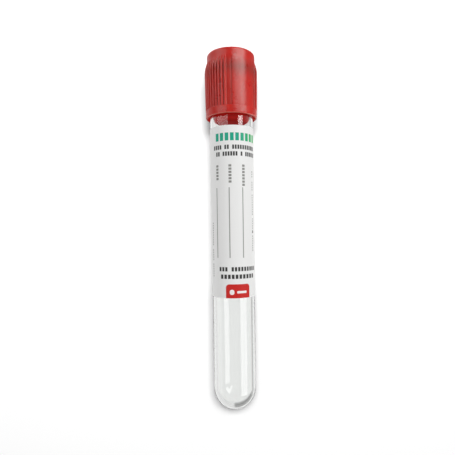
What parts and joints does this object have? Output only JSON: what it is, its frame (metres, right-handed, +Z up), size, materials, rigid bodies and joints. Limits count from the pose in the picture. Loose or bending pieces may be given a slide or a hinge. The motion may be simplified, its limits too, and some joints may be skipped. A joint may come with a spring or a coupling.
{
  "type": "blood collection tube",
  "caption": "Round-bottomed glass tube with a wrap-round label, shut by a rubber stopper inside a ribbed pull-off safety cap, for drawing and keeping blood.",
  "frame": {"origin": "middle of the footprint, on the surface that the tube lies on", "axes": "+Y along the tube towards the cap, +Z up; the tube lies on its side with its axis rising 0.96 degrees towards the cap"},
  "size_m": [0.016, 0.108, 0.0158],
  "materials": {
    "tube_glass": "clear drawn glass, polished",
    "label_paper": "white coated label stock with printed fields, satin",
    "stopper_rubber": "dark red butyl rubber, moulded",
    "cap_plastic": "red moulded polyethylene, semi-gloss"
  },
  "bodies": {
    "tube": {"tube": "tube_glass", "label": "label_paper"},
    "closure": {"rubber_stopper": "stopper_rubber", "safety_cap": "cap_plastic"}
  },
  "joints": [
    {"name": "closure_pull", "type": "slide", "parent": "tube", "child": "closure", "axis": [0, 0.9999, 0.0167], "range_m": [0, 0.03]}
  ]
}
